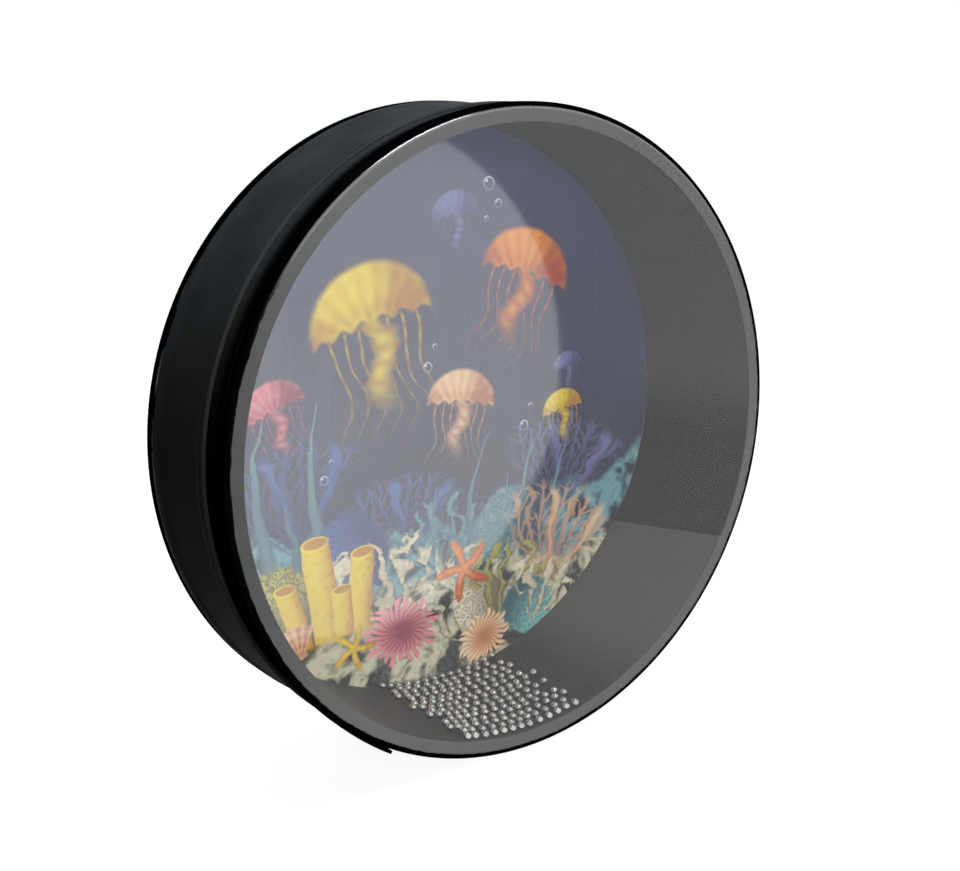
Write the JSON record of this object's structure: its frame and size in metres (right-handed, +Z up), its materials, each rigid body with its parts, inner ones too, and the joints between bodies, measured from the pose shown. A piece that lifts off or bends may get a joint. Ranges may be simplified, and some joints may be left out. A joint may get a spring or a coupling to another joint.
{
  "type": "ocean drum",
  "caption": "Round frame drum that stands on its rim, with a clear front head, a printed rear head and loose steel beads that roll between them to sound like surf.",
  "frame": {"origin": "middle of the drum, on its axis, halfway between the two heads", "axes": "+Y along the drum's axis towards the printed rear head, so the clear head faces -Y; +Z up as the drum stands on its rim; +X to the right as seen from the front"},
  "size_m": [0.2542, 0.0656, 0.2542],
  "materials": {
    "hoop_paint": "satin black paint on bent wood",
    "clear_film": "clear polyester film",
    "printed_film": "polyester film printed with a reef scene",
    "edging_tape": "black tape",
    "wrap_vinyl": "matt black vinyl with a fine grain",
    "bead_steel": "polished steel shot"
  },
  "bodies": {
    "drum": {"hoop": "hoop_paint", "front_head": "clear_film", "rear_head": "printed_film", "front_edging": "edging_tape", "rear_edging": "edging_tape", "side_wrap": "wrap_vinyl"},
    "bead_lane_01": {"bead_lane_01": "bead_steel"},
    "bead_lane_02": {"bead_lane_02": "bead_steel"},
    "bead_lane_03": {"bead_lane_03": "bead_steel"},
    "bead_lane_04": {"bead_lane_04": "bead_steel"},
    "bead_lane_05": {"bead_lane_05": "bead_steel"},
    "bead_lane_06": {"bead_lane_06": "bead_steel"},
    "bead_lane_07": {"bead_lane_07": "bead_steel"},
    "bead_lane_08": {"bead_lane_08": "bead_steel"},
    "bead_lane_09": {"bead_lane_09": "bead_steel"},
    "bead_lane_10": {"bead_lane_10": "bead_steel"},
    "bead_lane_11": {"bead_lane_11": "bead_steel"},
    "bead_lane_12": {"bead_lane_12": "bead_steel"},
    "bead_lane_13": {"bead_lane_13": "bead_steel"},
    "bead_lane_14": {"bead_lane_14": "bead_steel"}
  },
  "joints": [
    {"name": "bead_lane_01_roll", "type": "hinge", "parent": "drum", "child": "bead_lane_01", "pos_m": [0, -0.02999, 0], "axis": [0, 1, 0], "continuous": true},
    {"name": "bead_lane_02_roll", "type": "hinge", "parent": "drum", "child": "bead_lane_02", "pos_m": [0, -0.02538, 0], "axis": [0, 1, 0], "continuous": true},
    {"name": "bead_lane_03_roll", "type": "hinge", "parent": "drum", "child": "bead_lane_03", "pos_m": [0, -0.02076, 0], "axis": [0, 1, 0], "continuous": true},
    {"name": "bead_lane_04_roll", "type": "hinge", "parent": "drum", "child": "bead_lane_04", "pos_m": [0, -0.01615, 0], "axis": [0, 1, 0], "continuous": true},
    {"name": "bead_lane_05_roll", "type": "hinge", "parent": "drum", "child": "bead_lane_05", "pos_m": [0, -0.01154, 0], "axis": [0, 1, 0], "continuous": true},
    {"name": "bead_lane_06_roll", "type": "hinge", "parent": "drum", "child": "bead_lane_06", "pos_m": [0, -0.00692, 0], "axis": [0, 1, 0], "continuous": true},
    {"name": "bead_lane_07_roll", "type": "hinge", "parent": "drum", "child": "bead_lane_07", "pos_m": [0, -0.00231, 0], "axis": [0, 1, 0], "continuous": true},
    {"name": "bead_lane_08_roll", "type": "hinge", "parent": "drum", "child": "bead_lane_08", "pos_m": [0, 0.00231, 0], "axis": [0, 1, 0], "continuous": true},
    {"name": "bead_lane_09_roll", "type": "hinge", "parent": "drum", "child": "bead_lane_09", "pos_m": [0, 0.00692, 0], "axis": [0, 1, 0], "continuous": true},
    {"name": "bead_lane_10_roll", "type": "hinge", "parent": "drum", "child": "bead_lane_10", "pos_m": [0, 0.01154, 0], "axis": [0, 1, 0], "continuous": true},
    {"name": "bead_lane_11_roll", "type": "hinge", "parent": "drum", "child": "bead_lane_11", "pos_m": [0, 0.01615, 0], "axis": [0, 1, 0], "continuous": true},
    {"name": "bead_lane_12_roll", "type": "hinge", "parent": "drum", "child": "bead_lane_12", "pos_m": [0, 0.02076, 0], "axis": [0, 1, 0], "continuous": true},
    {"name": "bead_lane_13_roll", "type": "hinge", "parent": "drum", "child": "bead_lane_13", "pos_m": [0, 0.02538, 0], "axis": [0, 1, 0], "continuous": true},
    {"name": "bead_lane_14_roll", "type": "hinge", "parent": "drum", "child": "bead_lane_14", "pos_m": [0, 0.02999, 0], "axis": [0, 1, 0], "continuous": true}
  ]
}
